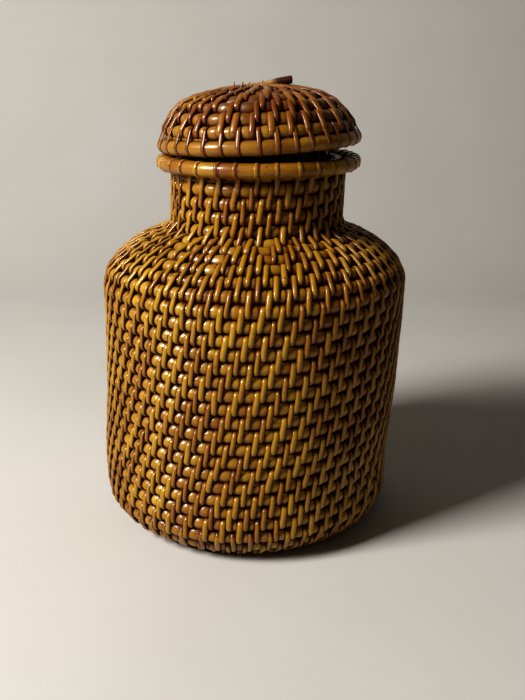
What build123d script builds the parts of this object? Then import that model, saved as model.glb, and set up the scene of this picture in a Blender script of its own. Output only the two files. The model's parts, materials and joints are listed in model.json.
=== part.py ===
from build123d import *
from math import cos, pi, radians, sin
import os

# A lidded jar of coiled rattan. A round core rod is laid in rows, and a narrow strip of cane
# binds each row to the one before it. Rows are drawn as closed rings that a thin web joins,
# where the real coil climbs by one row a turn.
# Millimetres, +Z up, origin on the axis at the table, +X to the side where the lid sits high.

# ---- driving dimensions ----
ROW_PITCH = 6.0  # from one row of the coil to the next
CORE_RADIUS = 2.5  # core rod of the walls
WEB = 2.4  # thickness that joins a zone's rows into one solid
CANE_RADIUS = 0.7  # half the width of a stitch bar
CANE_CLEARANCE = 0.15  # between a stitch bar and the rods below it
STITCH_PITCH = 8.2  # along a row, from one stitch to the next
STITCH_SHIFT = 1 / 3  # of a stitch pitch, each row against the row above

WALL_RADIUS = 66.4  # to the centre of the wall's rods
FOOT_HEIGHT = 3.0  # centre of the row that the jar stands on
FOOT_ROD_RADIUS = 3.2  # that row at its bound width, worn flat where it bears
CORNER_ROWS = 3  # rows from the foot row round the bottom corner to the wall
SHOULDER_START = 115.9  # height where the wall starts to turn in
SHOULDER_TURNS = ((12.0, 42.0), (41.6, 34.0), (8.0, -76.0))  # radius, degrees turned inwards
BASE_HEIGHT = 4.6  # centre of the base's outermost row
BASE_RISE = 1.6  # the base's centre above that
SHOULDER_ROWS = 6
NECK_ROWS = 4
WALL_STITCHES = 53  # in each row of the wall
NECK_STITCHES = 31

RIM_RADIUS = 42.9
RIM_HEIGHT = 169.1
RIM_ROD_RADIUS = 2.6
RIM_LASHINGS = 34
MOUTH_RADIUS = 36.7
MOUTH_HEIGHT = 168.0

LID_TILT = 2.7  # degrees that the lid sits askew in the mouth
LID_RIM_RADIUS = 42.4
LID_RIM_HEIGHT = 178.2
DOME_START = (40.3, 183.9)  # radius and height of the dome's lowest row
DOME_SLOPE = 60.0
DOME_TURNS = ((40.0, 12.0), (16.0, 34.0), (113.0, 14.0))  # radius, degrees turned inwards
COLLAR_RADIUS = 28.0
COLLAR_HEIGHT = 170.0  # centre of the collar's lowest row
COLLAR_ROWS = 4
TAIL_LENGTH = 20.0
TAIL_RADIUS = 1.3
TAIL_HEIGHT = 204.6
TAIL_OFFSET = 5.5  # its middle, sideways from the axis

# ---- worked out from them ----
CORNER_RADIUS = CORNER_ROWS * ROW_PITCH / (pi / 2)
CORNER_HEIGHT = FOOT_HEIGHT + CORNER_RADIUS
FOOT_RADIUS = WALL_RADIUS - CORNER_RADIUS
BAR_OFFSET = CORE_RADIUS + CANE_CLEARANCE + CANE_RADIUS
LASH_RADIUS = 0.35
LASH_OFFSET = RIM_ROD_RADIUS + 0.05 + LASH_RADIUS
LONG_STITCH = ROW_PITCH + 3.8  # reaches over two rows
SHORT_STITCH = ROW_PITCH - 0.5  # over the groove between two rows
MOUTH_STITCH = 3.4  # between the neck's top row and the mouth, under the rim ring


def turned_line(start, heading, turns):
    """A run of arcs, each tangent to the last. Headings are degrees from +X, left turns positive."""
    edges = []
    at = Vector(*start)
    for radius, turn in turns:
        arc = JernArc(at, (cos(radians(heading)), sin(radians(heading))), radius, turn)
        edges.append(arc)
        at = arc @ 1
        heading += turn
    return edges


def rows_along(line, first, count):
    """Row centres, a pitch apart along a line, as radius and height."""
    points = []
    for number in range(count):
        points.append(line.position_at(first + number * ROW_PITCH, position_mode=PositionMode.LENGTH))
    return [(point.X, point.Y) for point in points]


def coil(rows, radius=CORE_RADIUS):
    """One zone of the coil: a ring for each row, joined by a web, revolved about Z."""
    return revolve(Plane.XZ * coil_section(rows, radius), Axis.Z)


def disc(rows, foot=None):
    """A zone that closes at the axis, with its foot row if it has one, worn flat at the table."""
    section = coil_section([*rows, (0, rows[-1][1])])
    if foot:
        section += coil_section([foot, rows[0]])
        section += Pos(*foot) * Circle(FOOT_ROD_RADIUS)
        section &= Rectangle(1000, 1000, align=(Align.CENTER, Align.MIN))
    section &= Rectangle(1000, 1000, align=(Align.MIN, Align.CENTER))
    return revolve(Plane.XZ * section, Axis.Z)


def coil_section(rows, radius=CORE_RADIUS):
    """Half of a zone's cross-section: a circle for each row, joined by a web."""
    section = Sketch() + [Pos(r, z) * Circle(radius) for r, z in rows]
    for (r, z), (next_r, next_z) in zip(rows, rows[1:]):
        gap = Vector(next_r - r, next_z - z)
        angle = Vector(1, 0).get_signed_angle(gap, Vector(0, 0, 1))
        web = Rectangle(gap.length, WEB)
        section += Pos((r + next_r) / 2, (z + next_z) / 2) * Rot(0, 0, angle) * web
    return section


def stitches(rows, length, count=None, side=1):
    """Bars that cross each groove between two rows, spaced round it, each row's shifted a third."""
    bars = []
    for number, ((r, z), (next_r, next_z)) in enumerate(zip(rows, rows[1:])):
        along = Vector(next_r - r, 0, next_z - z).normalized()
        out = Vector(0, 1, 0).cross(along) * side
        centre = Vector((r + next_r) / 2, 0, (z + next_z) / 2) + out * BAR_OFFSET
        round_row = count or max(3, int(2 * pi * (r + next_r) / 2 / STITCH_PITCH))
        start = Plane(origin=centre - along * (length / 2), z_dir=along)
        bar = extrude(start * Circle(CANE_RADIUS), amount=length)
        for place in range(round_row):
            turn = 360 * (place + number * STITCH_SHIFT) / round_row
            bars.append(Rot(0, 0, turn) * bar)
    return bars


def lashings(radius, height, count):
    """Closed turns of cane round a rim rod."""
    turn = Pos(radius, 0, height) * Rot(90, 0, 0) * Torus(LASH_OFFSET, LASH_RADIUS)
    return [Rot(0, 0, 360 * place / count) * turn for place in range(count)]


def jar_line():
    """The jar's row line from the foot row, round the corner, up the wall and shoulder to the neck."""
    corner = turned_line((FOOT_RADIUS, FOOT_HEIGHT), 0, [(CORNER_RADIUS, 90)])
    wall = Line((WALL_RADIUS, CORNER_HEIGHT), (WALL_RADIUS, SHOULDER_START))
    shoulder = turned_line((WALL_RADIUS, SHOULDER_START), 90, SHOULDER_TURNS)
    neck_foot = shoulder[-1] @ 1
    neck = Line(neck_foot, (neck_foot.X, RIM_HEIGHT))
    return Wire([*corner, wall, *shoulder, neck])


def base_rows():
    """Rows of the flat base, from inside the foot row to the centre, rising a little."""
    count = int(FOOT_RADIUS / ROW_PITCH)
    rows = []
    for number in range(1, count + 1):
        radius = FOOT_RADIUS - number * ROW_PITCH
        rows.append((radius, BASE_HEIGHT + BASE_RISE * (number - 1) / (count - 1)))
    return rows


def lid_piece(shape):
    """Sets a piece of the upright lid askew, as it sits in the mouth."""
    return Pos(0, 0, LID_RIM_HEIGHT) * Rot(0, -LID_TILT, 0) * Pos(0, 0, -LID_RIM_HEIGHT) * shape


def tail():
    """The end of the core rod, laid across the middle of the lid."""
    middle = Pos(TAIL_OFFSET, 0, TAIL_HEIGHT) * Rot(0, 90, 0)
    return middle * Cylinder(TAIL_RADIUS, TAIL_LENGTH)


def write(name, shapes):
    """One file for each node."""
    solids = shapes if isinstance(shapes, list) else [shapes]
    body = solids[0] if len(solids) == 1 else Compound(children=solids)
    export_step(body, f"parts/{name}.step")


def write_jar():
    line = jar_line()
    rows = rows_along(line, ROW_PITCH, int(line.length / ROW_PITCH))
    wall_count = sum(1 for row in rows if row[1] < SHOULDER_START + CORE_RADIUS)
    shoulder_end = wall_count + SHOULDER_ROWS
    wall = rows[:wall_count]
    shoulder = rows[wall_count:shoulder_end]
    neck = rows[shoulder_end : shoulder_end + NECK_ROWS]
    base = base_rows()
    mouth = [(MOUTH_RADIUS, MOUTH_HEIGHT)]

    write("base_coil", disc(base, foot=(FOOT_RADIUS, FOOT_HEIGHT)))
    write("wall_coil", coil(wall))
    write("shoulder_coil", coil(shoulder))
    write("neck_coil", coil(neck))
    write("mouth_coil", coil(mouth))
    write("rim_ring", coil([(RIM_RADIUS, RIM_HEIGHT)], RIM_ROD_RADIUS))

    top_pair = stitches(wall[-2:], SHORT_STITCH, WALL_STITCHES)
    write("base_stitching", stitches(base, SHORT_STITCH, side=-1))
    write("wall_stitching", stitches(wall[:-1], LONG_STITCH, WALL_STITCHES) + top_pair)
    write("shoulder_stitching", stitches([wall[-1], *shoulder[:-1]], SHORT_STITCH))
    write("neck_stitching", stitches([*shoulder[-2:], *neck], SHORT_STITCH, NECK_STITCHES))
    write("mouth_stitching", stitches([neck[-1], *mouth], MOUTH_STITCH, NECK_STITCHES))
    write("rim_lashing", lashings(RIM_RADIUS, RIM_HEIGHT, RIM_LASHINGS))


def write_lid():
    line = Wire(turned_line(DOME_START, 180 - DOME_SLOPE, DOME_TURNS))
    dome = rows_along(line, 0, int(line.length / ROW_PITCH) + 1)
    collar = [(COLLAR_RADIUS, COLLAR_HEIGHT + number * ROW_PITCH) for number in range(COLLAR_ROWS)]
    pieces = {
        "lid_dome_coil": [disc(dome)],
        "lid_rim_ring": [coil([(LID_RIM_RADIUS, LID_RIM_HEIGHT)], RIM_ROD_RADIUS)],
        "lid_collar_coil": [coil(collar)],
        "lid_dome_stitching": stitches(dome, SHORT_STITCH),
        "lid_rim_lashing": lashings(LID_RIM_RADIUS, LID_RIM_HEIGHT, RIM_LASHINGS),
        "lid_collar_stitching": stitches(collar, SHORT_STITCH),
        "lid_tail": [tail()],
    }
    for name, shapes in pieces.items():
        write(name, [lid_piece(shape) for shape in shapes])


os.makedirs("parts", exist_ok=True)
write_jar()
write_lid()
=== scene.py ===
import json
from math import cos, pi, radians, sin, sqrt

import bpy
import numpy as np
from mathutils import Matrix, Vector

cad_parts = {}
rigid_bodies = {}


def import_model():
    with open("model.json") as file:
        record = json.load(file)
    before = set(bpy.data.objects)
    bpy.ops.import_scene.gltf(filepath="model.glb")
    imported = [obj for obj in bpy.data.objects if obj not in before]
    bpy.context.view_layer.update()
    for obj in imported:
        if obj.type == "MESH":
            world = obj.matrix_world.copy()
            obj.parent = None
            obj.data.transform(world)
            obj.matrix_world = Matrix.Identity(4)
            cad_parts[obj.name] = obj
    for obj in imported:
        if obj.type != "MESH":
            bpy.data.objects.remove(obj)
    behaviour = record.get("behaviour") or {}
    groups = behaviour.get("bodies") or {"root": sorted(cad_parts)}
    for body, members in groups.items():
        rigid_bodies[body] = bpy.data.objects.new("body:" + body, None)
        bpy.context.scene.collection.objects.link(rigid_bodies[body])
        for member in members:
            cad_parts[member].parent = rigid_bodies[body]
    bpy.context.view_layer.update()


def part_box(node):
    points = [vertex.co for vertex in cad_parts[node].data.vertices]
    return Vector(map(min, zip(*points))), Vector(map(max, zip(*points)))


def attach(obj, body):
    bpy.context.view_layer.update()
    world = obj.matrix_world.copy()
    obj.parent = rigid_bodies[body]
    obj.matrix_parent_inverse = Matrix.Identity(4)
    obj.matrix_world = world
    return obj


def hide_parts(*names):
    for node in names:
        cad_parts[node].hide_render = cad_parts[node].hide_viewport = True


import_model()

# A lidded jar of coiled rattan, bound with half-round cane and varnished. The core rod winds up
# from the middle of the base in one long coil. Each stitch of cane goes round its own row and
# the row before it, a third of a stitch to the right of the stitch below.
# Metres, +Z up. The back of the jar is +Y, and every rod starts and ends there.

MM = 0.001

# ---- the line that the jar's rows follow ----
ROW_PITCH = 6.0 * MM
BASE_HEIGHT = 4.6 * MM  # centre of the base's outer row
BASE_RISE = 1.6 * MM  # the middle of the base above that
FOOT_ROW = 54.94 * MM  # radius of the foot row's centre
FOOT_HEIGHT = 3.0 * MM
FOOT_LIFT = 3.5 * MM  # no row's centre is lower, so that its cane just clears the table
CORNER_ROWS = 3
SHOULDER_START = 115.9 * MM
SHOULDER_ARCS = ((12.0 * MM, 42.0), (41.6 * MM, 34.0), (8.0 * MM, -76.0))  # radius, degrees in
NECK_REACH = 60 * MM  # the line goes on this far past the shoulder
MOUTH_DROP = 0.6 * MM
LINE_STEP = 0.1 * MM

# ---- and how far it is out of true ----
LEAN = 0.034  # the jar leans to its right by this much of its height
LEAN_HEIGHT = 92.0 * MM
LID_LEAN = -0.065  # the dome sags back the other way, from its rim up
SHOULDER_SWELL = 1.0 * MM
SWELL_HEIGHT = 108 * MM
SWELL_SPREAD = 16 * MM
BELLY = 0.95 * MM  # the wall swells low down
BELLY_SHIFT = 1.55 * MM  # and more to its left
BELLY_HEIGHT = 32 * MM
BELLY_SPREAD = 22 * MM
CORNER_TUCK = 3.4 * MM  # and the foot is worked in further than a plain round corner
TUCK_SPREAD = 10.5 * MM
TABLE_GAP = 0.05 * MM
WANDER = 0.9 * MM  # a slow drift of everything, rods and cane alike
WANDER_SCALE = 13.0
QUIVER = 0.55 * MM  # and a quick one
QUIVER_SCALE = 75.0

# ---- the lines that the lid's rows follow ----
DOME_START = (40.3 * MM, 183.9 * MM)  # radius and height of the dome's lowest row
DOME_SLOPE = 60.0
DOME_ARCS = ((40.0 * MM, 12.0), (16.0 * MM, 34.0), (113.0 * MM, 14.0))
DOME_REACH = 12 * MM  # the line goes on this far past the dome
COLLAR_LINE = (20 * MM, 40 * MM)  # below the collar's foot row and above it
COLLAR_BEGINS = 17 * MM  # along that line

# ---- the rods ----
BASE_TURNS = 10
WALL_TURNS = 20
SHOULDER_TURNS = 6
NECK_TURNS = 4
DOME_TURNS = 8
COLLAR_TURNS = 4
COIL_EYE = 1.4 * MM  # how far from the middle a coil's rod begins
CORE_RADIUS = 2.5 * MM
RIM_CORE_RADIUS = 3.1 * MM
MOUTH_CORE_RADIUS = 2.8 * MM
RIDGE = 0.82 * MM  # how far a rod is squeezed out towards the next row, where the two press together
ROD_SIDES = 12
RING_SIDES = 16
PINCH = 0.90  # a rod's girth under a stitch
BULGE = 0.145  # how much fatter it is where it shows between stitches
RING_PINCH = 0.99
RING_BULGE = 0.02
PILLOW_FADE = (1.9 * MM, 0.6 * MM)  # from a stitch to full girth, on its right and on its left
NECK_FADE = (1.1 * MM, 0.4 * MM)
RING_FADE = (0.8 * MM, 0.8 * MM)
SAMPLE_STEP = 1.18 * MM  # along a coil's rod
LEAST_SAMPLES = 24  # in a turn
RING_STEP = 0.9  # a closed ring's step, as a share of the coil's
LEAST_RADIUS = 1.0 * MM  # of a row, where steps along it are worked out
# how a coil's rod ends, squeezed in under the next ring: turns from the last row's front, how far
# the rod has moved on from there, and its girth
NECK_END = ((0.0, 0.5, 0.85, 0.97), (0.0, 1.7 * MM, 2.8 * MM, 3.1 * MM), (1.0, 0.86, 0.5, 0.03))
DOME_END = ((0.0, 0.5, 0.85, 0.97), (0.0, 1.2 * MM, 2.3 * MM, 2.6 * MM), (1.0, 0.66, 0.3, 0.03))
COLLAR_END = ((0.0, 0.5, 0.85, 0.97), (0.0, 2.0 * MM, 2.3 * MM, 2.4 * MM), (1.0, 0.8, 0.5, 0.05))
# how it starts, in the same way: at its full girth, or as a tip tucked in under the next row
FULL_START = ((0.0, 1.0), (0.0, 0.0), (1.0, 1.0))
COLLAR_START = ((0.0, 0.3, 0.7), (3.0 * MM, 1.2 * MM, 0.0), (0.12, 0.62, 1.0))

# ---- the stitches ----
# how far apart they are, as rows' radii and the spacing at each
JAR_SPACING = ((40 * MM, 60 * MM), (9.0 * MM, 8.3 * MM))
LID_SPACING = ((16 * MM, 36 * MM), (6.2 * MM, 8.3 * MM))
STITCH_SHIFT = 1 / 3  # of a spacing, each row against the row below
FIRST_STITCH = 0.6  # turns from where the coil's rod begins
TOO_CLOSE = 0.62  # of a spacing: a stitch that would come nearer to the last one is left out
TOO_WIDE = 1.4  # and a wider gap gets one more
EVENED = 0.2  # how far each gap is brought back to an even one
UNEVEN = 0.07
RING_UNEVEN = 0.22
RIM_WRAPS = 32
LID_WRAPS = 36
MOUTH_STITCHES = 30

# ---- the cane ----
CANE_WIDTH = 2.7 * MM
LID_CANE_WIDTH = 3.2 * MM
CANE_WIDTHS = (0.82, 1.14)  # the strips' share of that, narrowest and widest
CANE_THICKNESS = 0.90 * MM
RIM_CANE_WIDTH = 2.2 * MM
RIM_CANE_THICKNESS = 0.42 * MM
CANE_NARROWS = 0.16  # by this share under and over the rods
CANE_THINS = 0.4
CANE_SINK = 0.04 * MM  # how far a strip's flat side is pressed into the rod
CANE_SLANT = 0.5 * MM
SLANT_RANGE = 0.7 * MM
CANE_ROLL = 0.2 * MM
CANE_SWAY = 0.16 * MM
CANE_DIP = 0.02 * MM  # how far a strip dips between two rows, at least
DIP_RANGE = 0.12 * MM
COVER = 0.42  # how far a strip covers the rod, either side, as a share of its width
VARIANTS = 8

# ---- the lid's loose ends ----
TAIL_POINTS = np.array(((-5.5, -3.0, 201.1), (5.0, -1.5, 201.5), (16.2, 0.0, 203.8))) * MM
TAIL_GIRTHS = ((0.0, 0.12, 0.5, 0.72, 0.96, 1.0), (0.3, 0.62, 0.7, 1.0, 1.05, 0.9))
TAIL_RADIUS = 1.75 * MM
TAIL_STEPS = 24
SLIVER_STEPS = 6
SLIVER_SIDES = 6
SLIVER_RADIUS = 1.0 * MM  # at a width of 1
SLIVER_BEND = (0.25, 0.1, 0.0)
# each sliver's root, its direction, its length and its width
SLIVERS = (
    ((-6.3, -14.0, 197.8), (-0.03, -0.12, 1.0), 5.2, 0.75),
    ((-9.2, -7.0, 199.8), (-0.2, 0.0, 1.0), 3.2, 0.42),
    ((2.2, -6.0, 200.2), (0.15, 0.1, 1.0), 3.4, 0.36),
    ((-4.0, -5.0, 200.4), (0.5, -0.3, 1.0), 2.6, 0.42),
    ((-32.8, -4.0, 191.8), (-0.7, -0.2, 0.8), 3.2, 0.5),
)

# ---- sizes that come from the frame ----
_, wall_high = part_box("wall_coil")
mouth_low, mouth_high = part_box("mouth_coil")
ring_low, ring_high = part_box("rim_ring")
lid_ring_low, lid_ring_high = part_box("lid_rim_ring")
collar_low, collar_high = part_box("lid_collar_coil")
CAD_RING_ROD = (ring_high.z - ring_low.z) / 2
WALL_RADIUS = wall_high.x - CORE_RADIUS
MOUTH_ROW = (mouth_high.y - CORE_RADIUS, (mouth_low.z + mouth_high.z) / 2 - MOUTH_DROP)
RIM_ROW = (ring_high.y - CAD_RING_ROD, (ring_low.z + ring_high.z) / 2)
LID_RIM_ROW = (lid_ring_high.y - CAD_RING_ROD, (lid_ring_low.z + lid_ring_high.z) / 2)
LID_TILT = (lid_ring_high.z - lid_ring_low.z - 2 * CAD_RING_ROD) / (2 * LID_RIM_ROW[0])
ASKEW = {"tilt": LID_TILT, "pivot": LID_RIM_ROW[1]}
COLLAR_RADIUS = collar_high.y - CORE_RADIUS


# ======== node building ========
class Value:
    """One output of a node tree. Arithmetic on it adds Math nodes."""

    def __init__(self, nodes, socket):
        self.nodes = nodes
        self.socket = socket

    def math(self, operation, *values):
        return self.nodes.add("ShaderNodeMath", {"operation": operation}, dict(enumerate(values)))

    def __add__(self, other):
        return self.math("ADD", self, other)

    def __radd__(self, other):
        return self.math("ADD", other, self)

    def __sub__(self, other):
        return self.math("SUBTRACT", self, other)

    def __rsub__(self, other):
        return self.math("SUBTRACT", other, self)

    def __mul__(self, other):
        return self.math("MULTIPLY", self, other)

    def __rmul__(self, other):
        return self.math("MULTIPLY", other, self)

    def __abs__(self):
        return self.math("ABSOLUTE", self)

    def ease(self, low, high):
        """0 below low and 1 above high, smooth between; low may be the larger."""
        settings = {"interpolation_type": "SMOOTHSTEP"}
        return self.nodes.add("ShaderNodeMapRange", settings, {0: self, 1: low, 2: high})


class Nodes:
    """Adds nodes to one tree."""

    def __init__(self, tree):
        self.tree = tree

    def add(self, kind, settings=None, inputs=None, output=0):
        """A node of that kind, its settings made first, then its sockets set or linked."""
        node = self.tree.nodes.new(kind)
        for name, setting in (settings or {}).items():
            if name == "stops":
                self.set_stops(node.color_ramp, setting)
            else:
                setattr(node, name, setting)
        for key, given in (inputs or {}).items():
            if isinstance(given, Value):
                self.tree.links.new(given.socket, node.inputs[key])
            else:
                node.inputs[key].default_value = given
        return Value(self, node.outputs[output]) if node.outputs else node

    def set_stops(self, ramp, stops):
        for number, (place, colour) in enumerate(stops):
            if number < len(ramp.elements):
                ramp.elements[number].position = place
            else:
                ramp.elements.new(place)
            ramp.elements[number].color = (*colour, 1)

    def parts(self, vector):
        """The three numbers of a vector."""
        split = self.add("ShaderNodeSeparateXYZ", inputs={0: vector})
        return [Value(self, output) for output in split.socket.node.outputs]

    def vector(self, x, y, z):
        return self.add("ShaderNodeCombineXYZ", inputs={0: x, 1: y, 2: z})

    def vector_math(self, operation, first, second):
        return self.add("ShaderNodeVectorMath", {"operation": operation}, {0: first, 1: second})

    def noise(self, place, scale, detail=2.0, roughness=0.5, output=0):
        sizes = {"Vector": place, "Scale": scale, "Detail": detail, "Roughness": roughness}
        return self.add("ShaderNodeTexNoise", inputs=sizes, output=output)

    def ramp(self, factor, stops):
        return self.add("ShaderNodeValToRGB", {"stops": stops}, {0: factor})

    def mix(self, factor, first, second):
        """Two colours mixed."""
        first = first if isinstance(first, Value) else (*first, 1)
        second = second if isinstance(second, Value) else (*second, 1)
        settings = {"data_type": "RGBA"}
        return self.add("ShaderNodeMix", settings, {0: factor, 6: first, 7: second}, output=2)


# ======== finishes ========
def finish(name, build):
    """A material whose nodes are made by build(nodes, surface)."""
    material = bpy.data.materials.new(name)
    material.use_nodes = True
    tree = material.node_tree
    nodes = Nodes(tree)
    surface = next(node for node in tree.nodes if node.type == "BSDF_PRINCIPLED")
    build(nodes, surface)
    return material


def join(nodes, surface, **sockets):
    for name, value in sockets.items():
        nodes.tree.links.new(value.socket, surface.inputs[name.replace("_", " ")])


def varnish(surface, weight, roughness):
    """The clear coat of the finish, the same all over."""
    surface.inputs["IOR"].default_value = 1.5
    surface.inputs["Specular IOR Level"].default_value = 0.35
    surface.inputs["Coat Weight"].default_value = weight
    surface.inputs["Coat Roughness"].default_value = roughness
    surface.inputs["Coat IOR"].default_value = 1.5


def attribute(nodes, name, output="Fac"):
    return nodes.add("ShaderNodeAttribute", {"attribute_name": name}, output=output)


def core_finish(name, tones, stain_and_shade, shade_depth, browned=0.0):
    """Varnished rattan core: fine grain along the rod, painted shade with stain beside the cane and in
    the grooves, a lid's top browned.
    """

    def build(nodes, surface):
        across, up, _ = nodes.parts(attribute(nodes, "crest", "Vector"))
        along = attribute(nodes, "along")
        bare = attribute(nodes, "bare")
        shade = attribute(nodes, "shade")
        place = nodes.add("ShaderNodeTexCoord", output="Object")

        fibre_place = nodes.vector(across * 2.5, up * 2.5, along * 90)
        fibres = nodes.noise(fibre_place, 2.6, 3.0, 0.62)
        pores = nodes.noise(nodes.vector(across * 2.5, up * 2.5, along * 400), 2.1, 2.0)
        regions = nodes.noise(place, 16.0, 2.0)
        patches = nodes.noise(place, 60.0, 3.0)
        smudges = nodes.noise(place, 260.0, 3.0, 0.6)

        tone = shade * 0.18 + patches * 0.35 + regions * 0.5 + fibres * 0.3 - 0.20
        if browned:
            _, _, height = nodes.parts(place)
            tone = tone - height.ease(*LID_BROWNS) * browned
        colour = nodes.ramp(tone, tones)
        colour = nodes.mix(pores.ease(0.57, 0.72) * 0.4, colour, stain_and_shade)
        # painted groove shade, with stain, where this row presses on the next; a ring gets less of it
        free = 1 - attribute(nodes, "free") * 0.7
        groove_shade = (1 - abs(across).ease(0.05, 0.8)) * free * shade_depth
        colour = nodes.mix(groove_shade, colour, stain_and_shade)
        # painted shade, with stain, on the rod beside each strip of cane
        beside = (1 - bare.ease(0.10, 0.58)) * 0.88
        colour = nodes.mix(beside, colour, stain_and_shade)
        colour = nodes.mix(smudges.ease(0.56, 0.74) * 0.5, colour, stain_and_shade)

        rough = 0.27 + smudges * 0.2 + fibres * 0.1 + beside * 0.15
        height = fibres * 0.5 + pores * 0.3 + smudges * 0.4
        relief = {"Strength": 0.35, "Distance": 0.12 * MM, "Height": height}
        bump = nodes.add("ShaderNodeBump", inputs=relief)
        varnish(surface, 0.35, 0.09)
        join(nodes, surface, Base_Color=colour, Roughness=rough, Normal=bump)

    return finish(name, build)


def cane_finish(name, tones, stain_and_shade, shade_depth):
    """Varnished half-round cane: streaks along the strip, painted shade along its edges and where it
    goes into the grooves.
    """

    def build(nodes, surface):
        along, across, deep = nodes.parts(attribute(nodes, "strip", "Vector"))
        tone = attribute(nodes, "tone")
        place = nodes.add("ShaderNodeTexCoord", output="Object")

        streak_place = nodes.vector(along * 130, across * 1.6, tone * 57)
        streaks = nodes.noise(streak_place, 2.4, 3.0, 0.6)
        fine = nodes.noise(nodes.vector(along * 60, across * 5.0, tone * 31), 2.6, 2.0)
        regions = nodes.noise(place, 16.0, 2.0)
        patches = nodes.noise(place, 60.0, 3.0)
        smudges = nodes.noise(place, 300.0, 3.0, 0.6)

        shade = tone * 0.22 + patches * 0.35 + regions * 0.5 + streaks * 0.25 - 0.20
        colour = nodes.ramp(shade, tones)
        # painted shade along both edges of the strip
        edge = abs(across).ease(0.55, 1.05) * 0.85
        colour = nodes.mix(edge, colour, stain_and_shade)
        # painted shade where the strip goes down into the grooves and round the rods
        colour = nodes.mix(deep.ease(0.35, 1.0) * shade_depth, colour, stain_and_shade)
        colour = nodes.mix(fine.ease(0.55, 0.72) * 0.45, colour, stain_and_shade)
        colour = nodes.mix(smudges.ease(0.58, 0.74) * 0.5, colour, stain_and_shade)

        rough = 0.25 + streaks * 0.14 + smudges * 0.16 + edge * 0.15
        height = streaks * 0.5 + fine * 0.4 + smudges * 0.3
        relief = {"Strength": 0.35, "Distance": 0.1 * MM, "Height": height}
        bump = nodes.add("ShaderNodeBump", inputs=relief)
        varnish(surface, 0.4, 0.08)
        join(nodes, surface, Base_Color=colour, Roughness=rough, Normal=bump)

    return finish(name, build)


def tail_finish(name):
    """The rod's end: pale split wood that darkens to its blunt tip."""

    def build(nodes, surface):
        across, up, _ = nodes.parts(attribute(nodes, "crest", "Vector"))
        along = attribute(nodes, "along")
        place = nodes.add("ShaderNodeTexCoord", output="Object")
        fibres = nodes.noise(nodes.vector(across * 2.5, up * 2.5, along * 90), 3.0, 4.0, 0.7)
        smudges = nodes.noise(place, 300.0, 3.0, 0.6)
        pale = nodes.ramp(fibres, ((0.3, (0.20, 0.085, 0.02)), (0.7, (0.58, 0.36, 0.13))))
        dark = nodes.ramp(fibres, ((0.3, (0.016, 0.005, 0.003)), (0.7, (0.10, 0.032, 0.012))))
        tip = (along + smudges * 0.006).ease(0.0145, 0.0195)
        colour = nodes.mix(tip, pale, dark)
        relief = {"Strength": 0.6, "Distance": 0.2 * MM, "Height": fibres}
        bump = nodes.add("ShaderNodeBump", inputs=relief)
        varnish(surface, 0.15, 0.3)
        join(nodes, surface, Base_Color=colour, Roughness=0.4 + fibres * 0.25, Normal=bump)

    return finish(name, build)


GOLD_TONES = (
    (0.0, (0.070, 0.018, 0.002)),
    (0.32, (0.23, 0.088, 0.006)),
    (0.66, (0.46, 0.27, 0.018)),
    (1.0, (0.66, 0.50, 0.10)),
)
CANE_TONES = (
    (0.0, (0.060, 0.014, 0.002)),
    (0.32, (0.24, 0.098, 0.006)),
    (0.66, (0.43, 0.25, 0.015)),
    (1.0, (0.60, 0.42, 0.07)),
)
LID_TONES = (
    (0.0, (0.050, 0.013, 0.003)),
    (0.36, (0.25, 0.112, 0.010)),
    (0.70, (0.44, 0.265, 0.026)),
    (1.0, (0.60, 0.46, 0.13)),
)
LID_CANE_TONES = (
    (0.0, (0.040, 0.010, 0.002)),
    (0.36, (0.165, 0.052, 0.006)),
    (0.70, (0.34, 0.155, 0.014)),
    (1.0, (0.52, 0.33, 0.06)),
)
# the colour of real stain in pits and smudges, also painted as shade in the grooves, beside the cane
# and along its edges
DARK_STAIN_AND_SHADE = (0.065, 0.0065, 0.0038)
GROOVE_SHADE = 0.9  # how much painted shade, with stain, shows where rows press together, and painted shade where a strip goes down between them
LID_BROWNS = (0.184, 0.196)  # the heights between which the lid turns browner
LID_BROWNED = 0.24


# ======== row lines ========
def arc_points(start, heading, arcs):
    """Points a small step apart along arcs, each tangent to the last. Left turns are positive."""
    points = [np.array(start)]
    for radius, turn in arcs:
        count = max(1, int(abs(radius * radians(turn)) / LINE_STEP))
        step = abs(radius * radians(turn)) / count
        for _ in range(count):
            heading += turn / count / 2
            points.append(points[-1] + step * np.array((cos(radians(heading)), sin(radians(heading)))))
            heading += turn / count / 2
    return points


class RowLine:
    """The line that a coil's rows follow, as radius and height against the distance along it."""

    def __init__(self, points):
        self.points = np.array(points)
        steps = np.linalg.norm(np.diff(self.points, axis=0), axis=1)
        self.distance = np.concatenate(([0.0], np.cumsum(steps)))

    def at(self, distance):
        radius = np.interp(distance, self.distance, self.points[:, 0])
        return radius, np.interp(distance, self.distance, self.points[:, 1])


def hump(heights, middle, spread):
    """1 at the middle height, falling smoothly to 0 above and below it."""
    return np.exp(-(((heights - middle) / spread) ** 2))


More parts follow.
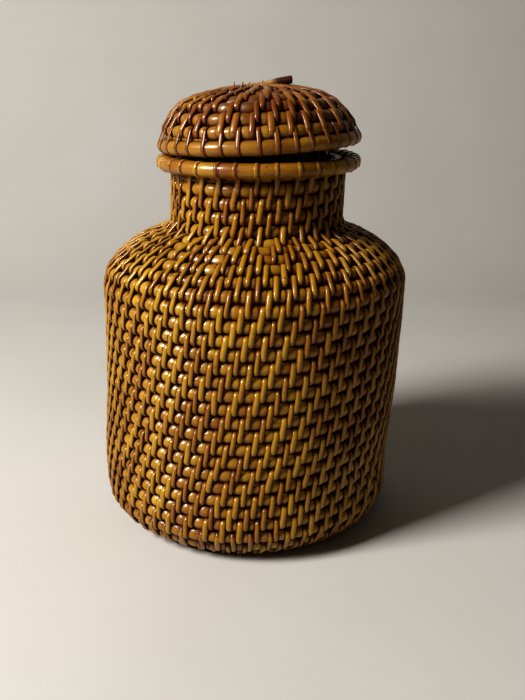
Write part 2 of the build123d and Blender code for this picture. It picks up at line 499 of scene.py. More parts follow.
def jar_line():
    """From the middle of the base, out to the foot, round the corner, up to the rim."""
    corner_radius = CORNER_ROWS * ROW_PITCH / (pi / 2)
    outer_base = (FOOT_ROW - ROW_PITCH, BASE_HEIGHT)
    points = [(0.0, BASE_HEIGHT + BASE_RISE), outer_base]
    points += arc_points((FOOT_ROW, FOOT_HEIGHT), 0, [(corner_radius, 90)])
    points += arc_points((WALL_RADIUS, SHOULDER_START), 90, SHOULDER_ARCS)
    points.append((points[-1][0], points[-1][1] + NECK_REACH))
    line = RowLine(points)
    foot = line.distance[2]
    heights = line.points[:, 1]
    line.points[:, 0] += SHOULDER_SWELL * hump(heights, SWELL_HEIGHT, SWELL_SPREAD)
    outside = line.distance >= foot
    tuck = CORNER_TUCK * hump(heights, FOOT_HEIGHT, TUCK_SPREAD)
    belly = BELLY * hump(heights, BELLY_HEIGHT, BELLY_SPREAD)
    line.points[:, 0] += np.where(outside, belly - tuck, -line.points[:, 0] * CORNER_TUCK / FOOT_ROW)
    line.points[:, 1] = np.maximum(heights, FOOT_LIFT)
    return line, foot


def dome_line():
    """From the middle of the lid out and down to its lowest dome row, and on past it."""
    points = arc_points(DOME_START, 180 - DOME_SLOPE, DOME_ARCS)
    length = len(points) - 1
    points.append((0.0, points[-1][1]))
    points.reverse()
    slope = radians(DOME_SLOPE)
    end = points[-1] + DOME_REACH * np.array((cos(slope), -sin(slope)))
    line = RowLine([*points, end])
    return line, line.distance[length + 1]


class Coil:
    """A rod wound along a row line. Places on it are in turns; whole turns are at the back."""

    def __init__(self, line, start, last, ending, outward=1, beginning=FULL_START):
        self.line = line
        self.start = start
        self.eye = (COIL_EYE - start) / ROW_PITCH  # the turn where a coil from the middle begins
        self.squeeze = last - 0.5  # the turn where it starts to be squeezed in at its end
        self.last = self.squeeze + ending[0][-1]
        self.ending = ending
        self.outward = outward
        self.beginning = beginning

    def row(self, turn):
        beyond = np.interp(turn - self.squeeze, self.ending[0], self.ending[1])
        beyond += np.interp(turn, self.beginning[0], self.beginning[1])
        return self.line.at(self.start + ROW_PITCH * np.minimum(turn, self.squeeze) + beyond)

    def girth(self, turn):
        first = np.interp(turn, self.beginning[0], self.beginning[2])
        return first * np.interp(turn - self.squeeze, self.ending[0], self.ending[2])

    def place(self, turn):
        """Where the rod's centre is."""
        return on_row(self.row(turn), turn)

    def facing(self, turn):
        """The direction out of the wall."""
        (low_r, low_z), (high_r, high_z) = self.row(turn - 0.3), self.row(turn + 0.3)
        return facing_of(high_r - low_r, high_z - low_z, turn, self.outward)


def on_row(row, turn):
    radius, height = row
    angle = pi / 2 + 2 * pi * turn
    return np.stack((radius * np.cos(angle), radius * np.sin(angle), height + 0 * angle), axis=-1)


def facing_of(out, up, turn, outward=1):
    """At right angles to the rows, out of the wall, where the next row lies out and up from this."""
    angle = pi / 2 + 2 * pi * turn
    size = np.sqrt(out**2 + up**2)
    made = np.stack((up * np.cos(angle), up * np.sin(angle), -out + 0 * angle), axis=-1)
    return outward * made / size[..., None] if np.ndim(size) else outward * made / size


# ======== where the stitches fall ========
def stitch_turns(coil, first, last, shift, spacing, seed):
    """Places of the stitches along a coil. Each follows the stitch a turn before it, shifted."""
    chance = np.random.default_rng(seed)
    turns = [first]
    parent = 0
    while turns[-1] < last:
        now = turns[-1]
        radius = max(coil.row(now)[0], 2 * LEAST_RADIUS)
        pitch = np.interp(radius, *spacing)
        even = pitch / (2 * pi * radius)
        if now < first + 1:
            step = even
        else:
            while turns[parent] + 1 + shift * even < now + TOO_CLOSE * even:
                parent += 1
            step = turns[parent] + 1 + shift * even - now
            if step > TOO_WIDE * even:
                step /= 2
            else:
                step += EVENED * (even - step)
                parent += 1
        turns.append(now + step + even * UNEVEN * (chance.random() - 0.5))
    return np.array(turns[:-1])


def even_turns(count, seed):
    """Places spaced round a closed ring, with a maker's small unevenness."""
    chance = np.random.default_rng(seed)
    return (np.arange(count) + RING_UNEVEN * (chance.random(count) - 0.5)) / count


# ======== workers for the Geometry Nodes ========
def worker(name, points, edges, vectors, numbers):
    """A mesh of bare points, with what each point knows as attributes."""
    mesh = bpy.data.meshes.new(name)
    mesh.from_pydata([tuple(point) for point in points], edges, [])
    for key, values in vectors.items():
        layer = mesh.attributes.new(key, "FLOAT_VECTOR", "POINT")
        layer.data.foreach_set("vector", np.asarray(values, np.float32).ravel())
    for key, values in numbers.items():
        layer = mesh.attributes.new(key, "FLOAT", "POINT")
        layer.data.foreach_set("value", np.asarray(values, np.float32))
    made = bpy.data.objects.new(name, mesh)
    bpy.context.scene.collection.objects.link(made)
    return made


def grown(made, tree, **inputs):
    """The worker's tree run on it, and the result kept as its plain mesh."""
    modifier = made.modifiers.new("build", "NODES")
    modifier.node_group = tree
    for item in tree.interface.items_tree:
        if item.item_type == "SOCKET" and item.in_out == "INPUT" and item.name in inputs:
            modifier[item.identifier] = inputs[item.name]
    missing = set(inputs) - {item.name for item in tree.interface.items_tree}
    assert not missing, missing
    depsgraph = bpy.context.evaluated_depsgraph_get()
    mesh = bpy.data.meshes.new_from_object(
        made.evaluated_get(depsgraph), preserve_all_data_layers=True, depsgraph=depsgraph
    )
    made.modifiers.clear()
    old = made.data
    made.data = mesh
    bpy.data.meshes.remove(old)
    mesh.name = made.name
    return made


def new_tree(name, inputs):
    """An empty Geometry Nodes tree with named inputs, its node builder and its input values."""
    tree = bpy.data.node_groups.new(name, "GeometryNodeTree")
    tree.interface.new_socket("Geometry", in_out="INPUT", socket_type="NodeSocketGeometry")
    tree.interface.new_socket("Geometry", in_out="OUTPUT", socket_type="NodeSocketGeometry")
    for key, kind in inputs.items():
        tree.interface.new_socket(key, in_out="INPUT", socket_type=f"NodeSocket{kind}")
    nodes = Nodes(tree)
    entry = tree.nodes.new("NodeGroupInput")
    given = {output.name: Value(nodes, output) for output in entry.outputs if output.name}
    return tree, nodes, given


def wandered(nodes, geometry, wander, quiver):
    """Moves everything by one slow and one quick drift, the same for rods and cane."""
    place = nodes.add("GeometryNodeInputPosition")
    slow = nodes.noise(place, WANDER_SCALE, 1.0, output=1)
    quick = nodes.noise(place, QUIVER_SCALE, 1.0, output=1)
    half = (0.5, 0.5, 0.5)
    slow = nodes.vector_math("SUBTRACT", slow, half)
    quick = nodes.vector_math("SUBTRACT", quick, half)
    slow = nodes.vector_math("MULTIPLY", slow, nodes.vector(wander, wander, wander))
    quick = nodes.vector_math("MULTIPLY", quick, nodes.vector(quiver, quiver, quiver))
    drift = nodes.vector_math("ADD", slow, quick)
    return nodes.add("GeometryNodeSetPosition", inputs={"Geometry": geometry, "Offset": drift})


def closed_off(nodes, geometry, material):
    """The end of every tree: real geometry, smooth, in its finish."""
    real = nodes.add("GeometryNodeRealizeInstances", inputs={"Geometry": geometry})
    smooth = nodes.add("GeometryNodeSetShadeSmooth", inputs={0: real})
    done = nodes.add("GeometryNodeSetMaterial", inputs={"Geometry": smooth, "Material": material})
    leave = nodes.tree.nodes.new("NodeGroupOutput")
    nodes.tree.links.new(done.socket, leave.inputs[0])


def named(nodes, kind, name):
    return nodes.add("GeometryNodeInputNamedAttribute", {"data_type": kind}, {"Name": name})


def stored(nodes, geometry, kind, domain, name, value):
    """The geometry, with a value kept on it by name."""
    settings = {"data_type": kind, "domain": domain}
    kept = {"Geometry": geometry, "Name": name, "Value": value}
    return nodes.add("GeometryNodeStoreNamedAttribute", settings, kept)


def chance_value(nodes, kind, seed, limits=None):
    """A random number for each point."""
    settings = {"data_type": kind}
    inputs = dict(zip(("Min", "Max"), limits or ()))
    return nodes.add("FunctionNodeRandomValue", settings, {**inputs, "Seed": seed}, output="Value")


SHARED_INPUTS = {"Wander": "Float", "Quiver": "Float", "Finish": "Material"}


def rod_tree():
    """Sweeps a round rod along a line of points, fat or thin as they say."""
    inputs = {"Rod Radius": "Float", "Sides": "Int", "Ridge": "Float", **SHARED_INPUTS}
    tree, nodes, given = new_tree("swept_rod", inputs)
    curve = nodes.add("GeometryNodeMeshToCurve", inputs={0: given["Geometry"]})
    turned = {"Curve": curve, "Normal": named(nodes, "FLOAT_VECTOR", "facing")}
    curve = nodes.add("GeometryNodeSetCurveNormal", {"mode": "FREE"}, turned)
    girth = named(nodes, "FLOAT", "girth")
    sizes = {"Resolution": given["Sides"], "Radius": given["Rod Radius"]}
    section = nodes.add("GeometryNodeCurvePrimitiveCircle", {"mode": "RADIUS"}, sizes)
    spot = nodes.add("GeometryNodeInputPosition")
    crest = nodes.add("ShaderNodeVectorMath", {"operation": "NORMALIZE"}, {0: spot})
    section = stored(nodes, section, "FLOAT_VECTOR", "POINT", "crest", crest)
    _, side, _ = nodes.parts(crest)
    ridge = nodes.vector(0.0, side.math("POWER", side, 9.0) * given["Ridge"], 0.0)
    section = nodes.add("GeometryNodeSetPosition", inputs={"Geometry": section, "Offset": ridge})
    swept = {"Curve": curve, "Profile Curve": section, "Scale": girth, "Fill Caps": True}
    rod = nodes.add("GeometryNodeCurveToMesh", inputs=swept)
    rod = wandered(nodes, rod, given["Wander"], given["Quiver"])
    closed_off(nodes, rod, given["Finish"])
    return tree


def binding_tree():
    """Sets one of the loops of cane at every point, turned to the wall and as long as it says."""
    inputs = {"Loops": "Collection", "Seed": "Int", **SHARED_INPUTS}
    tree, nodes, given = new_tree("bound_cane", inputs)
    loops = {"Collection": given["Loops"], "Separate Children": True, "Reset Children": True}
    loops = nodes.add("GeometryNodeCollectionInfo", {"transform_space": "ORIGINAL"}, loops)
    facing = named(nodes, "FLOAT_VECTOR", "facing")
    climb = named(nodes, "FLOAT_VECTOR", "climb")
    axes = {"Primary Axis": facing, "Secondary Axis": climb}
    ways = {"primary_axis": "X", "secondary_axis": "Y"}
    turned = nodes.add("FunctionNodeAxesToRotation", ways, axes)
    which = chance_value(nodes, "INT", given["Seed"], (0, VARIANTS - 1))
    size = nodes.vector(1.0, 1.0, chance_value(nodes, "FLOAT", given["Seed"], CANE_WIDTHS))
    placed = {
        "Points": given["Geometry"],
        "Instance": loops,
        "Pick Instance": True,
        "Instance Index": which,
        "Rotation": turned,
        "Scale": size,
    }
    cane = nodes.add("GeometryNodeInstanceOnPoints", inputs=placed)
    tone = chance_value(nodes, "FLOAT", given["Seed"])
    cane = stored(nodes, cane, "FLOAT", "INSTANCE", "tone", tone)
    cane = nodes.add("GeometryNodeRealizeInstances", inputs={"Geometry": cane})
    longer = named(nodes, "FLOAT", "longer") * named(nodes, "FLOAT", "reach")
    pull = nodes.vector(longer, longer, longer)
    pull = nodes.vector_math("MULTIPLY", climb, pull)
    cane = nodes.add("GeometryNodeSetPosition", inputs={"Geometry": cane, "Offset": pull})
    cane = wandered(nodes, cane, given["Wander"], given["Quiver"])
    closed_off(nodes, cane, given["Finish"])
    return tree


# ======== loops of cane ========
def loop_path(upper, lower, spread, dip):
    """Round two rods: outside down, under the lower rod, inside up, over the upper one."""
    half = spread / 2
    bend = (28, 58, 90, 130)
    outside = [(upper, half, 0), ((upper + lower) / 2 - dip, 0, 0), (lower, -half, 0)]
    under = [(lower * cos(radians(a)), -half - lower * sin(radians(a)), -a) for a in bend]
    inside = [(-lower, -half, 180), (-(upper + lower) / 2 + dip, 0, 180), (-upper, half, 180)]
    over = [(upper * cos(radians(a)), half + upper * sin(radians(a)), a) for a in reversed(bend)]
    return [*outside, *under, *inside, *over]


def tube_faces(rings, sides):
    """The faces of a tube that closes on itself."""
    faces = []
    for ring in range(rings):
        here = ring * sides
        after = (ring + 1) % rings * sides
        for side in range(sides):
            beside = (side + 1) % sides
            faces.append((here + side, here + beside, after + beside, after + side))
    return faces


def cane_loop(name, path, width, thickness, seen_over, chance):
    """One closed turn of half-round cane, a few dozen faces, flat side in."""
    section = ((-1.0, 0.0), (-0.6, 0.74), (0.0, 1.0), (0.6, 0.74), (1.0, 0.0))
    slant = CANE_SLANT + SLANT_RANGE * (chance.random() - 0.5)
    roll = CANE_ROLL * (chance.random() - 0.5)
    sway = CANE_SWAY * (chance.random(len(path)) - 0.5)
    centres = np.array([(x, y) for x, y, _ in path])
    steps = np.linalg.norm(np.diff(centres, axis=0), axis=1)
    along = np.concatenate(([0.0], np.cumsum(steps)))
    half = max(y for _, y, _ in path)
    half_spread = path[0][1]
    points, strip, reach = [], [], []
    for (x, y, angle), run, stray in zip(path, along, sway):
        deep = 0.0 if seen_over and angle > 0 else sin(radians(angle)) ** 2
        wide = width * (1 - CANE_NARROWS * deep) / 2
        thick = thickness * (1 - CANE_THINS * deep)
        out = Vector((cos(radians(angle)), sin(radians(angle)), 0))
        for across, height in section:
            lift = height * thick - CANE_SINK + roll * across
            shift = across * wide - slant * y / half + stray
            point = Vector((x, y, 0)) + out * lift + Vector((0, 0, shift))
            points.append(tuple(point))
            strip.append((run, across, deep))
            reach.append(max(-1.0, min(1.0, y / half_spread)))
    mesh = bpy.data.meshes.new(name)
    mesh.from_pydata(points, [], tube_faces(len(path), len(section)))
    layer = mesh.attributes.new("strip", "FLOAT_VECTOR", "POINT")
    layer.data.foreach_set("vector", np.array(strip, np.float32).ravel())
    layer = mesh.attributes.new("reach", "FLOAT", "POINT")
    layer.data.foreach_set("value", np.array(reach, np.float32))
    return bpy.data.objects.new(name, mesh)


def cane_loops(name, upper, lower, spread, width, thickness, seed, seen_over=False):
    """A set of loops, no two alike, for one kind of stitch. A rim's loops are seen over the top."""
    chance = np.random.default_rng(seed)
    group = bpy.data.collections.new(name)
    for number in range(VARIANTS):
        dip = CANE_DIP + DIP_RANGE * chance.random()
        path = loop_path(upper, lower, spread, dip)
        group.objects.link(cane_loop(f"{name}_{number}", path, width, thickness, seen_over, chance))
    return group


def drop_loops(group):
    for made in list(group.objects):
        mesh = made.data
        bpy.data.objects.remove(made)
        bpy.data.meshes.remove(mesh)
    bpy.data.collections.remove(group)


# ======== pieces ========
def hidden_by(covers, turns, radius, width, fade):
    """How bare the rod is at each place: 0 under a strip of cane, 1 clear of the strips either side."""
    covers = np.sort(covers)
    after = np.searchsorted(covers, turns)
    before = covers[np.clip(after - 1, 0, len(covers) - 1)]
    beyond = covers[np.clip(after, 0, len(covers) - 1)]
    edge = width * COVER
    left = (np.abs(turns - before) * 2 * pi * radius - edge) / fade[0]
    right = (np.abs(beyond - turns) * 2 * pi * radius - edge) / fade[1]
    return np.sin(np.clip(np.minimum(left, right), 0, 1) * pi / 2), after


def core_rod(name, tree, coil, first, last, covers, material, seed, fade=PILLOW_FADE):
    """A length of the coil's rod, pinched under the cane and full between."""
    turns = [first]
    while turns[-1] < last:
        reach = max(coil.row(turns[-1])[0], LEAST_RADIUS)
        step = min(1 / LEAST_SAMPLES, SAMPLE_STEP / (2 * pi * reach))
        turns.append(min(last, turns[-1] + step))
    turns = np.array(turns)
    radii = np.maximum(coil.row(turns)[0], LEAST_RADIUS)
    bare, number = hidden_by(covers, turns, radii, CANE_WIDTH, fade)
    girth = (PINCH + BULGE * bare) * coil.girth(turns)
    chance = np.random.default_rng(seed)
    shade = chance.random(len(covers) + 2)[number]
    steps = np.linalg.norm(np.diff(coil.place(turns), axis=0), axis=1)
    along = np.concatenate(([0.0], np.cumsum(steps)))
    edges = [(at, at + 1) for at in range(len(turns) - 1)]
    vectors = {"facing": coil.facing(turns)}
    numbers = {"girth": girth, "bare": bare, "along": along, "shade": shade}
    made = worker(name, coil.place(turns), edges, vectors, numbers)
    return grown(made, tree, **rod_sizes(CORE_RADIUS, ROD_SIDES, RIDGE, material))


def rod_sizes(radius, sides, ridge, material):
    sizes = {"Rod Radius": radius, "Sides": sides, "Ridge": ridge}
    return {**sizes, "Wander": WANDER, "Quiver": QUIVER, "Finish": material}


def ring_rod(
    name, tree, row, covers, radius, material, seed, width=RIM_CANE_WIDTH, sides=RING_SIDES, ridge=0.0
):
    """A rod closed into a ring."""
    count = int(2 * pi * row[0] / (SAMPLE_STEP * RING_STEP))
    turns = np.arange(count) / count
    wrapped = np.concatenate((covers - 1, covers, covers + 1))
    bare, number = hidden_by(wrapped, turns, row[0], width, RING_FADE)
    girth = RING_PINCH + RING_BULGE * bare
    chance = np.random.default_rng(seed)
    shade = chance.random(len(covers) + 1)[number % len(covers)]
    edges = [(at, (at + 1) % count) for at in range(count)]
    vectors = {"facing": facing_of(0.0, 1.0, turns)}
    along = turns * 2 * pi * row[0]
    numbers = {"girth": girth, "bare": bare, "along": along, "shade": shade}
    numbers["free"] = np.ones(count)  # nothing presses on a ring from above, so it gets less of the painted groove shade and stain
    made = worker(name, on_row(row, turns), edges, vectors, numbers)
    return grown(made, tree, **rod_sizes(radius, sides, ridge, material))


def binding(name, tree, loops, upper, lower, spread, turns, outward, material, seed):
    """Stitches round two rows at the given places."""
    step = upper - lower
    span = np.linalg.norm(step, axis=1)
    climb = step / span[:, None]
    angle = pi / 2 + 2 * pi * turns
    round_row = np.stack((-np.sin(angle), np.cos(angle), 0 * angle), axis=-1)
    facing = outward * np.cross(round_row, climb)
    vectors = {"facing": facing, "climb": climb}
    made = worker(name, (upper + lower) / 2, [], vectors, {"longer": (span - spread) / 2})
    sizes = {"Loops": loops, "Seed": seed, "Wander": WANDER, "Quiver": QUIVER, "Finish": material}
    return grown(made, tree, **sizes)


def coil_binding(name, tree, loops, coil, turns, material, seed):
    """The stitches of a coil, each round its own row and the row before it."""
    upper, lower = coil.place(turns), coil.place(turns - 1)
    climb = (upper - lower) / np.linalg.norm(upper - lower, axis=1)[:, None]
    upper = upper - climb * (CORE_RADIUS * (1 - coil.girth(turns)))[:, None]
    lower = lower + climb * (CORE_RADIUS * (1 - coil.girth(turns - 1)))[:, None]
    return binding(name, tree, loops, upper, lower, ROW_PITCH, turns, coil.outward, material, seed)


def leaning(slope, height):
    """Slides things sideways by a share of their distance above a height."""
    lean = Matrix.Identity(4)
    lean[0][2] = slope
    lean[0][3] = -slope * height
    return lean


def settle(piece, tilt=0.0, pivot=0.0):
    """Leans a piece with the jar and rests it on the table. The lid's have a pivot, and may tilt."""
    there, back = Matrix.Translation((0, 0, pivot)), Matrix.Translation((0, 0, -pivot))
    slope = leaning(LEAN, LEAN_HEIGHT)
    if pivot:
        slope = leaning(LID_LEAN, pivot) @ Matrix.Translation((LEAN * (pivot - LEAN_HEIGHT), 0, 0))
    piece.data.transform(slope @ there @ Matrix.Rotation(-tilt, 4, "Y") @ back)
    places = np.zeros(len(piece.data.vertices) * 3, np.float32)
    piece.data.vertices.foreach_get("co", places)
    if not pivot:
        places[0::3] -= BELLY_SHIFT * hump(places[2::3], BELLY_HEIGHT, BELLY_SPREAD)
    places[2::3] = np.maximum(places[2::3], TABLE_GAP)
    piece.data.vertices.foreach_set("co", places)
    piece.data.update()
    return piece


def hand_over(piece, body, slot, *nodes):
    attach(piece, body)
    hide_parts(*nodes)


def rim_loops(name, spread, seed):
    """Thin loops that lash a rim ring to a row, seen over the top."""
    strip = (RIM_CANE_WIDTH, RIM_CANE_THICKNESS)
    return cane_loops(name, RIM_CORE_RADIUS, CORE_RADIUS, spread, *strip, seed, seen_over=True)


def jar_coil():
    """The jar's whole coil, the first and last turns of its zones, and the end of its last row."""
    line, foot = jar_line()
    wall_end = BASE_TURNS + WALL_TURNS
    shoulder_end = wall_end + SHOULDER_TURNS
    neck_end = shoulder_end + NECK_TURNS
    coil = Coil(line, foot - (BASE_TURNS - 0.5) * ROW_PITCH, neck_end, NECK_END)
    zones = {
        "base": (coil.eye, BASE_TURNS),
        "wall": (BASE_TURNS, wall_end),
        "shoulder": (wall_end, shoulder_end),
        "neck": (shoulder_end, coil.last),
    }
    return coil, zones, neck_end


def make_jar(rods, canes, core, cane):
    coil, zones, neck_end = jar_coil()
    first_stitch = coil.eye + FIRST_STITCH
    stitches = stitch_turns(coil, first_stitch, neck_end, STITCH_SHIFT, JAR_SPACING, 11)
    mouth_places = even_turns(MOUTH_STITCHES, 12)
    wraps = even_turns(RIM_WRAPS, 13)
    top_turns = mouth_places + neck_end - 1
    covers = np.concatenate((stitches, stitches - 1, top_turns))
    sizes = (CORE_RADIUS, CORE_RADIUS, ROW_PITCH, CANE_WIDTH, CANE_THICKNESS)
    loops = cane_loops("loops", *sizes, 21)
    for number, (zone, (first, last)) in enumerate(zones.items()):
        fade = NECK_FADE if zone == "neck" else PILLOW_FADE
        rod = core_rod(f"{zone}_core", rods, coil, first, last, covers, core, 30 + number, fade)
        hand_over(settle(rod), "jar", "rattan_core", f"{zone}_coil")
        own = stitches[(stitches >= max(first, coil.eye + 1)) & (stitches < last)]
        bound = coil_binding(f"{zone}_binding", canes, loops, coil, own, cane, 40 + number)
        hand_over(settle(bound), "jar", "cane_binding", f"{zone}_stitching")
    make_mouth(rods, canes, loops, coil.place(top_turns), mouth_places, wraps, core, cane)
    drop_loops(loops)
    make_rim(rods, canes, wraps, core, cane)


def make_mouth(rods, canes, loops, top_row, places, wraps, core, cane):
    """The row behind the rim ring, stitched to the neck's top row."""
    covers = np.concatenate((places, wraps))
    look = {"width": CANE_WIDTH, "sides": ROD_SIDES, "ridge": RIDGE}
    mouth = ring_rod("mouth_core", rods, MOUTH_ROW, covers, MOUTH_CORE_RADIUS, core, 50, **look)
    hand_over(settle(mouth), "jar", "rattan_core", "mouth_coil")
    rows = (on_row(MOUTH_ROW, places), top_row)
    bound = binding("mouth_binding", canes, loops, *rows, ROW_PITCH, places, 1, cane, 51)
    hand_over(settle(bound), "jar", "cane_binding", "mouth_stitching")


def make_rim(rods, canes, wraps, core, cane):
    """The thick ring round the outside of the mouth, lashed to the row behind it."""
    ring = ring_rod("rim_ring_core", rods, RIM_ROW, wraps, RIM_CORE_RADIUS, core, 52)
    hand_over(settle(ring), "jar", "rattan_core", "rim_ring")
    spread = sqrt((RIM_ROW[0] - MOUTH_ROW[0]) ** 2 + (RIM_ROW[1] - MOUTH_ROW[1]) ** 2)
    loops = rim_loops("rim_loops", spread, 22)
    upper, lower = on_row(RIM_ROW, wraps), on_row(MOUTH_ROW, wraps)
    bound = binding("rim_binding", canes, loops, upper, lower, spread, wraps, -1, cane, 53)
    hand_over(settle(bound), "jar", "cane_binding", "rim_lashing")
    drop_loops(loops)


def make_lid(rods, canes, core, cane):
    wraps = even_turns(LID_WRAPS, 62)
    sizes = (CORE_RADIUS, CORE_RADIUS, ROW_PITCH, LID_CANE_WIDTH, CANE_THICKNESS)
    loops = cane_loops("lid_loops", *sizes, 63)
    coil = make_dome(rods, canes, loops, wraps, core, cane)
    make_lid_rim(rods, canes, coil, wraps, core, cane)
    make_collar(rods, canes, loops, core, cane)
    drop_loops(loops)


def make_dome(rods, canes, loops, wraps, core, cane):
    line, end = dome_line()
    coil = Coil(line, end - (DOME_TURNS - 0.5) * ROW_PITCH, DOME_TURNS, DOME_END, outward=-1)
    first_stitch = coil.eye + FIRST_STITCH
    stitches = stitch_turns(coil, first_stitch, DOME_TURNS, -STITCH_SHIFT, LID_SPACING, 61)
    covers = np.concatenate((stitches, stitches - 1, wraps + DOME_TURNS - 1))
    dome = core_rod("lid_dome_core", rods, coil, coil.eye, coil.last, covers, core, 64)
    hand_over(settle(dome, **ASKEW), "lid", "lid_rattan_core", "lid_dome_coil")
    own = stitches[stitches >= coil.eye + 1]
    bound = coil_binding("lid_dome_binding", canes, loops, coil, own, cane, 65)
    hand_over(settle(bound, **ASKEW), "lid", "lid_cane_binding", "lid_dome_stitching")
    return coil


def make_lid_rim(rods, canes, coil, wraps, core, cane):
    """The thick ring at the lid's edge, lashed to the dome's last row."""
    ring = ring_rod("lid_rim_core", rods, LID_RIM_ROW, wraps, RIM_CORE_RADIUS, core, 66)
    hand_over(settle(ring, **ASKEW), "lid", "lid_rattan_core", "lid_rim_ring")
    loops = rim_loops("lid_rim_loops", ROW_PITCH, 67)
    upper, lower = on_row(LID_RIM_ROW, wraps), coil.place(wraps + DOME_TURNS - 1)
    rows = (upper, lower, ROW_PITCH)
    bound = binding("lid_rim_binding", canes, loops, *rows, wraps, -1, cane, 68)
    hand_over(settle(bound, **ASKEW), "lid", "lid_cane_binding", "lid_rim_lashing")
    drop_loops(loops)


def make_collar(rods, canes, loops, core, cane):
    """The short upright coil under the dome that keeps the lid in the neck."""
    foot = collar_low.z + CORE_RADIUS
    below, above = COLLAR_LINE
    upright = RowLine([(COLLAR_RADIUS, foot - below), (COLLAR_RADIUS, foot + above)])
    coil = Coil(upright, COLLAR_BEGINS, COLLAR_TURNS, COLLAR_END, beginning=COLLAR_START)
    own = stitch_turns(coil, 0.0, COLLAR_TURNS, STITCH_SHIFT, LID_SPACING, 71)
    covers = np.concatenate((own, own - 1))
    rod = core_rod("lid_collar_core", rods, coil, 0.0, coil.last, covers, core, 72)
    hand_over(settle(rod, **ASKEW), "lid", "lid_rattan_core", "lid_collar_coil")
    bound = coil_binding("lid_collar_binding", canes, loops, coil, own[own >= 1], cane, 73)
    hand_over(settle(bound, **ASKEW), "lid", "lid_cane_binding", "lid_collar_stitching")


def make_tail(rods, split):
    """The rod's end that lies across the lid."""
    start, middle, end = TAIL_POINTS
    share = np.linspace(0, 1, TAIL_STEPS + 1)[:, None]
    line = (1 - share) ** 2 * start + 2 * share * (1 - share) * middle + share**2 * end
    share = share[:, 0]
    girth = np.interp(share, TAIL_GIRTHS[0], TAIL_GIRTHS[1])
    along = share * np.linalg.norm(end - start)
    vectors = {"facing": np.tile((0.0, 0.0, 1.0), (TAIL_STEPS + 1, 1))}
    numbers = {"girth": girth, "bare": share, "along": along, "shade": 0 * share}
    edges = [(at, at + 1) for at in range(TAIL_STEPS)]
    made = worker("lid_tail_rod", line, edges, vectors, numbers)
    rod = grown(made, rods, **rod_sizes(TAIL_RADIUS, ROD_SIDES, 0.0, split))
    hand_over(settle(rod, pivot=LID_RIM_ROW[1]), "lid", "lid_tail_splint", "lid_tail")


def make_slivers(rods, core):
    """Fine splinters that stand up from the weave of the lid, each thinner towards its tip."""
    points, edges, facing, girths, alongs, shades = [], [], [], [], [], []
    for number, (root, lean, length, width) in enumerate(SLIVERS):
        first = len(points)
        for part in np.linspace(0, 1, SLIVER_STEPS + 1):
            bent = Vector(lean) * part + Vector(SLIVER_BEND) * part**2
            points.append(tuple(Vector(root) * MM + bent * length * MM))
            facing.append((0.3, -1.0, 0.2))
            girths.append(width * (1 - 0.5 * part))
            alongs.append(part * length * MM)
            shades.append(number / len(SLIVERS))
        edges += [(first + at, first + at + 1) for at in range(SLIVER_STEPS)]
    numbers = {"girth": girths, "bare": np.ones(len(points)), "along": alongs, "shade": shades}
    made = worker("lid_slivers", points, edges, {"facing": facing}, numbers)
    made = grown(made, rods, **rod_sizes(SLIVER_RADIUS, SLIVER_SIDES, 0.0, core))
    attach(settle(made, pivot=LID_RIM_ROW[1]), "lid")


# ======== the room ========
def camera():
    """Stands in front of the jar, a little above it, and looks down."""
    lens = bpy.data.cameras.new("camera")
    lens.lens = 43.71
    lens.sensor_width = 36
    lens.clip_start = 0.01
    eye = bpy.data.objects.new("camera", lens)
    eye.location = (4.5 * MM, -392.2 * MM, 209.5 * MM)
    eye.rotation_euler = (radians(71.53), 0, 0)
    bpy.context.scene.collection.objects.link(eye)
    bpy.context.scene.camera = eye


def lamp(name, place, target, width, height, power, colour):
    light = bpy.data.lights.new(name, "AREA")
    light.shape = "RECTANGLE"
    light.size = width
    light.size_y = height
    light.energy = power
    light.color = colour
    made = bpy.data.objects.new(name, light)
    made.location = place
    made.rotation_euler = (Vector(target) - Vector(place)).to_track_quat("-Z", "Y").to_euler()
    bpy.context.scene.collection.objects.link(made)


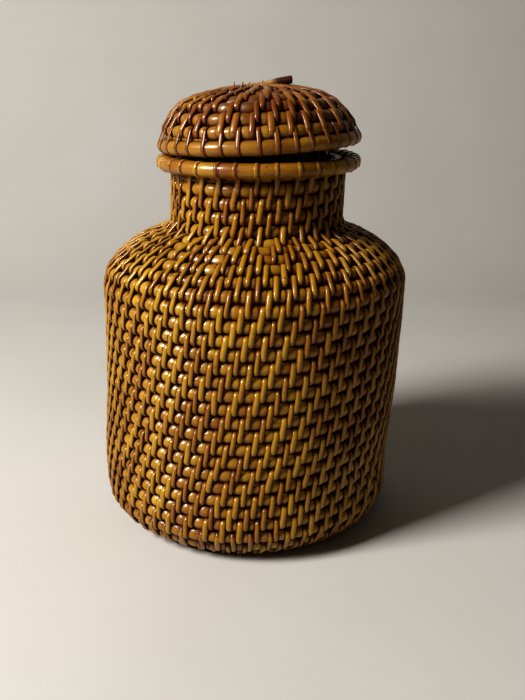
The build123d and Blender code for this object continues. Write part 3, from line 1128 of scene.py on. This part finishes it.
def lights():
    look = bpy.context.scene.view_settings
    look.view_transform = "Standard"
    look.look = "High Contrast"
    middle = (0, 0, 110 * MM)
    lamp("window", (-0.77, -0.45, 0.76), middle, 0.34, 0.45, 16.3, (1.0, 0.97, 0.92))
    lamp("fill", (0.3, -1.0, 0.9), middle, 0.9, 0.9, 0.12, (1.0, 0.96, 0.9))
    world = bpy.data.worlds.new("room")
    world.use_nodes = True
    back = next(node for node in world.node_tree.nodes if node.type == "BACKGROUND")
    back.inputs["Color"].default_value = (1.0, 0.82, 0.66, 1)
    back.inputs["Strength"].default_value = 0.06
    bpy.context.scene.world = world


def backdrop():
    """A pale sheet that is the floor and curves up behind the jar."""
    reach, rise, bend, back = 1.6, 1.5, 0.35, 0.75
    steps = 16
    profile = [(-reach, 0.0), (back - bend, 0.0)]
    for step in range(1, steps + 1):
        angle = pi / 2 * step / steps
        profile.append((back - bend + bend * sin(angle), bend - bend * cos(angle)))
    profile.append((back, rise))
    points = [(x, y, z) for y, z in profile for x in (-reach, reach)]
    faces = [(2 * n, 2 * n + 1, 2 * n + 3, 2 * n + 2) for n in range(len(profile) - 1)]
    mesh = bpy.data.meshes.new("backdrop")
    mesh.from_pydata(points, [], faces)
    mesh.polygons.foreach_set("use_smooth", [True] * len(faces))

    def build(nodes, surface):
        place = nodes.add("ShaderNodeTexCoord", output="Object")
        mottle = nodes.noise(place, 9.0, 4.0)
        colour = nodes.mix(mottle, (0.52, 0.51, 0.49), (0.58, 0.575, 0.56))
        surface.inputs["Specular IOR Level"].default_value = 0.2
        join(nodes, surface, Base_Color=colour, Roughness=0.75 + mottle * 0.2)

    mesh.materials.append(finish("pale_sheet", build))
    made = bpy.data.objects.new("backdrop", mesh)
    bpy.context.scene.collection.objects.link(made)


rods, canes = rod_tree(), binding_tree()
make_jar(
    rods,
    canes,
    core_finish("golden_rattan", GOLD_TONES, DARK_STAIN_AND_SHADE, GROOVE_SHADE),
    cane_finish("golden_cane", CANE_TONES, DARK_STAIN_AND_SHADE, GROOVE_SHADE),
)
make_lid(
    rods,
    canes,
    core_finish("brown_rattan", LID_TONES, DARK_STAIN_AND_SHADE, GROOVE_SHADE, LID_BROWNED),
    cane_finish("brown_cane", LID_CANE_TONES, DARK_STAIN_AND_SHADE, GROOVE_SHADE),
)
make_tail(rods, tail_finish("split_rattan"))
make_slivers(rods, core_finish("brown_sliver", LID_TONES, DARK_STAIN_AND_SHADE, 0.0))
camera()
lights()
backdrop()
